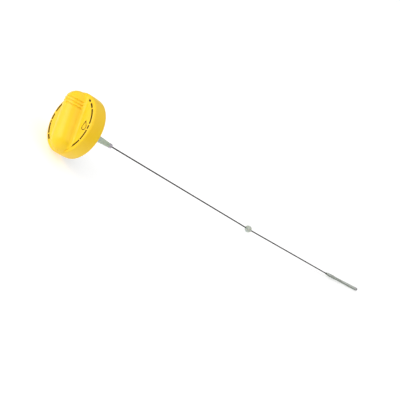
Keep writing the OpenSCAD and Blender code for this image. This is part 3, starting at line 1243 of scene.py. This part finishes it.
@dataclass
class WireRope:
    """The stick's wire: six strands laid round a core.

    Attributes:
        rope_r: Radius of the rope.
        top: Height of its upper end.
        end_grip: Length held inside the blade.
        lay: Length in which a strand winds once round the core.
        strands: Number of strands.
        strand_sides: Sides of a strand.
        steps_per_lay: Segments in one winding.
    """

    rope_r: float = 0.65
    top: float = 13.4
    end_grip: float = 6.0
    lay: float = 8.5
    strands: int = 6
    strand_sides: int = 7
    steps_per_lay: int = 20

    def length(self) -> float:
        """Length from the upper end to the end inside the blade."""
        return self.top + ROUTE.bead_at + ROUTE.lower_wire + ROUTE.blade_start + self.end_grip

    def strand_ring(self) -> bmesh.types.BMesh:
        """Draws the strands' ends and the core's at the upper end of the wire.

        Returns:
            A mesh of open rings.
        """
        bm = bmesh.new()
        strand_r = self.rope_r / 3
        angles = [2 * math.pi * i / self.strands for i in range(self.strands)]
        offsets = [2 * strand_r * Vector((math.cos(a), math.sin(a), 0)) for a in angles]
        for offset in offsets + [Vector((0, 0, 0))]:
            bmesh.ops.create_circle(bm, segments=self.strand_sides, radius=strand_r,
                                    matrix=Matrix.Translation(offset + Vector((0, 0, self.top))))
        return bm

    def winding(self, length: float) -> bpy.types.Mesh:
        """Winds the strands once round the core.

        Args:
            length: Length of the winding.

        Returns:
            A mesh that is open at both ends.
        """
        bm = self.strand_ring()
        bmesh.ops.spin(bm, geom=bm.verts[:] + bm.edges[:], cent=(0, 0, 0), axis=(0, 0, 1),
                       dvec=(0, 0, -length / self.steps_per_lay), angle=2 * math.pi,
                       steps=self.steps_per_lay)
        mesh = bpy.data.meshes.new("winding")
        bm.to_mesh(mesh)
        bm.free()
        return mesh

    def build(self) -> None:
        """Repeats a winding over the whole length and bends it along the stick."""
        count = round(self.length() / self.lay)
        lay = self.length() / count
        winding = self.winding(lay)
        bm = bmesh.new()
        for _ in range(count):
            bm.from_mesh(winding)
            winding.transform(Matrix.Translation((0, 0, -lay)))
        bpy.data.meshes.remove(winding)
        close_up(bm)
        for vert in bm.verts:
            vert.co = ROUTE.follow(vert.co)
        finish_piece("wire_rope", bm, WIRE_FINISH.material(), ["gauge_wire"],
                     sharp_deg=60)


@dataclass
class GuideBead:
    """The ball that keeps the stick in the middle of its tube.

    Attributes:
        ball_r: Radius of the ball.
        hub_r: Radius of its two hubs.
        length: Overall length with the hubs.
        bore_r: Radius of its bore.
        seam: Height of the mould's parting line on the ball.
        edge: Bevel of the hubs' ends.
        ball_steps: Segments from hub to hub.
        round_steps: Segments round the bead.
    """

    ball_r: float = 3.5
    hub_r: float = 1.35
    length: float = 8.4
    bore_r: float = 0.74
    seam: float = 0.05
    edge: float = 0.2
    ball_steps: int = 36
    round_steps: int = 72

    def build(self) -> None:
        """Builds the bead."""
        half = self.length / 2
        join_deg = math.degrees(math.acos(self.hub_r / self.ball_r))
        ball = arc((0, 0), self.ball_r, join_deg, -join_deg, self.ball_steps)
        ball[self.ball_steps // 2] = (self.ball_r + self.seam, 0.0)
        flat_r, side = self.hub_r - self.edge, half - self.edge
        outline = ([(self.bore_r, half), (flat_r, half), (self.hub_r, side)] + ball
                   + [(self.hub_r, -side), (flat_r, -half), (self.bore_r, -half)])
        bm = turned(outline, steps=self.round_steps)
        bm.transform(ROUTE.at_bead())
        finish_piece("bead", bm, BEAD_FINISH.material(), ["guide_bead"])


@dataclass
class MeasuringEnd:
    """The hatched blade and the metal stop at the very end.

    Attributes:
        stop_r: Radius of the stop.
        stop_len: Its length.
        pin_bore: Radius of its bore.
        pin_depth: Depth of the bore.
        edge: Bevel round its open end.
        dome_steps: Segments over the dome.
        round_steps: Segments round it.
    """

    stop_r: float = 1.75
    stop_len: float = 4.7
    pin_bore: float = 0.95
    pin_depth: float = 3.0
    edge: float = 0.2
    dome_steps: int = 14
    round_steps: int = 64

    def stop(self) -> bmesh.types.BMesh:
        """Turns the domed stop with its bore.

        Returns:
            The closed stop.
        """
        shoulder = self.stop_r - self.stop_len
        dome = arc((0, shoulder), self.stop_r, 0, -90, self.dome_steps)
        dome[-1] = (0.0, -self.stop_len)
        outline = ([(0.0, -self.pin_depth), (self.pin_bore, -self.pin_depth), (self.pin_bore, 0.0),
                    (self.stop_r - self.edge, 0.0), (self.stop_r, -self.edge)] + dome)
        return turned(outline, steps=self.round_steps)

    def build(self) -> None:
        """Builds the stop and dresses the blade."""
        bm = self.stop()
        bm.transform(ROUTE.at_stop())
        finish_piece("metal_stop", bm, STOP_FINISH.material(), ["end_stop"])
        dress_node("gauge_blade", BLADE_FINISH.material())


@dataclass(frozen=True)
class PhotoCamera:
    """The camera at the photograph's viewing angle.

    Attributes:
        azimuth: Degrees round the object.
        elevation: Degrees above the floor.
        roll: Degrees about the viewing axis.
        distance: Metres from the point that it turns about.
        aim_height: Height of that point above the floor.
        side: Metres that the camera is moved to its right.
        rise: Metres that it is moved up.
        focal_px: Focal length in pixels of the frame.
        frame_px: Width of the frame in pixels.
        sensor_mm: Width of the sensor.
    """

    azimuth: float = -46.14
    elevation: float = 22.989
    roll: float = 48.347
    distance: float = 1.06595
    aim_height: float = 0.02
    side: float = -0.03233
    rise: float = 0.01231
    focal_px: float = 1105.3
    frame_px: int = 400
    sensor_mm: float = 36.0

    def axes(self) -> tuple[Vector, Vector, Vector]:
        """Works out how the camera is turned.

        Returns:
            Its right, up and backward directions.
        """
        a, e, r = (math.radians(v) for v in (self.azimuth, self.elevation, self.roll))
        back = Vector((math.sin(a) * math.cos(e), -math.cos(a) * math.cos(e), math.sin(e)))
        level = Vector((0, 0, 1)).cross(back).normalized()
        upright = back.cross(level)
        return (level * math.cos(r) + upright * math.sin(r),
                upright * math.cos(r) - level * math.sin(r), back)

    def place(self) -> Vector:
        """Works out where the camera stands.

        Returns:
            Its place in the row frame.
        """
        right, up, back = self.axes()
        aim = Vector((0, 0, self.aim_height))
        return aim + back * self.distance + right * self.side + up * self.rise

    def build(self) -> None:
        """Adds the camera and makes it the scene's."""
        lens = bpy.data.cameras.new("photo_camera")
        lens.sensor_width = self.sensor_mm
        lens.lens = self.focal_px / self.frame_px * self.sensor_mm
        camera = bpy.data.objects.new("photo_camera", lens)
        bpy.context.scene.collection.objects.link(camera)
        right, up, back = self.axes()
        turn = Matrix((right, up, back)).transposed().to_4x4()
        camera.matrix_world = Matrix.Translation(self.place()) @ turn
        bpy.context.scene.camera = camera


@dataclass
class Studio:
    """Pale floor and soft light.

    Attributes:
        camera: The camera that the key light is placed by.
        floor_half: Half of the floor's side, in metres.
        grain_mm: Size of the floor's grain.
        key_watts: Power of the key light.
        key_size: Side of the key light, in metres.
        key_reach: How far it stands back, up and to the left of the camera's aim, in metres.
        fill_watts: Power of the fill light.
        fill_size: Side of the fill light, in metres.
        fill_at: Its place in the row frame.
        table_glow: Light that comes up through the table.
        zenith: Brightness of the world overhead.
        horizon: Its brightness at eye level and below.
    """

    camera: PhotoCamera
    floor_half: float = 8.0
    grain_mm: float = 2.5
    key_watts: float = 5.4
    key_size: float = 0.75
    key_reach: float = 0.7
    fill_watts: float = 1.4
    fill_size: float = 0.8
    fill_at: Corner = (-0.4, -0.65, 0.95)
    table_glow: float = 0.5
    zenith: float = 1.1
    horizon: float = 0.2

    def floor(self) -> None:
        """Adds the floor, an opal table lit a little from below."""
        bm = bmesh.new()
        bmesh.ops.create_grid(bm, x_segments=8, y_segments=8, size=self.floor_half)
        mesh = bpy.data.meshes.new("floor")
        bm.to_mesh(mesh)
        bm.free()
        material, tree = blank_material("opal_table_white")
        coords = add_node(tree, "ShaderNodeTexCoord")
        grain = add_node(tree, "ShaderNodeTexNoise", {"Scale": 1 / (self.grain_mm * MM)},
                         {"Vector": coords.outputs["Object"]})
        tones = add_node(tree, "ShaderNodeMix",
                         {"data_type": "RGBA", 6: linear("CECECE"), 7: linear("D2D2D2")},
                         {0: grain.outputs["Fac"]})
        shader = add_node(tree, "ShaderNodeBsdfPrincipled",
                          {"Roughness": 0.9, "Specular IOR Level": 0.1,
                           "Emission Color": (1, 1, 1, 1), "Emission Strength": self.table_glow},
                          {"Base Color": tones.outputs[2]})
        add_node(tree, "ShaderNodeOutputMaterial", links={"Surface": shader.outputs["BSDF"]})
        mesh.materials.append(material)
        floor = bpy.data.objects.new("floor", mesh)
        bpy.context.scene.collection.objects.link(floor)

    def lamp(self, name: str, watts: float, size: float, place: Vector) -> None:
        """Adds a square soft light that faces the object.

        Args:
            name: Its name.
            watts: Its power.
            size: Its side, in metres.
            place: Its place in the row frame.
        """
        light = bpy.data.lights.new(name, "AREA")
        light.energy = watts
        light.size = size
        lamp = bpy.data.objects.new(name, light)
        lamp.location = place
        lamp.rotation_mode = "QUATERNION"
        lamp.rotation_quaternion = place.to_track_quat("Z", "Y")
        bpy.context.scene.collection.objects.link(lamp)

    def sky(self) -> None:
        """Adds a white world that is brighter overhead, like a wide soft box."""
        world = bpy.data.worlds.new("studio")
        bpy.context.scene.world = world
        world.use_nodes = True
        tree = world.node_tree
        tree.nodes.clear()
        coords = add_node(tree, "ShaderNodeTexCoord")
        axes = add_node(tree, "ShaderNodeSeparateXYZ",
                        links={"Vector": coords.outputs["Generated"]})
        strength = add_node(tree, "ShaderNodeMapRange",
                            {"To Min": self.horizon, "To Max": self.zenith},
                            {"Value": axes.outputs["Z"]})
        background = add_node(tree, "ShaderNodeBackground", {"Color": (1, 1, 1, 1)},
                              {"Strength": strength.outputs["Result"]})
        add_node(tree, "ShaderNodeOutputWorld", links={"Surface": background.outputs["Background"]})

    def build(self) -> None:
        """Adds floor, world and lights, and shows colours without a film curve."""
        self.floor()
        self.sky()
        right, up, back = self.camera.axes()
        self.lamp("key", self.key_watts, self.key_size, (back + up - right) * self.key_reach)
        self.lamp("fill", self.fill_watts, self.fill_size, Vector(self.fill_at))
        bpy.context.scene.view_settings.view_transform = "Standard"


def main() -> None:
    """Builds the dipstick, the studio and the camera, in that order."""
    logging.basicConfig(level=logging.INFO, format="%(relativeCreated)d ms %(message)s")
    for assembly in (FillerCap(), ThreadedInsert(), Gasket(), StickHolder(), WireRope(),
                     GuideBead(), MeasuringEnd()):
        assembly.build()
    camera = PhotoCamera()
    Studio(camera).build()
    camera.build()


if __name__ == "__main__":
    main()
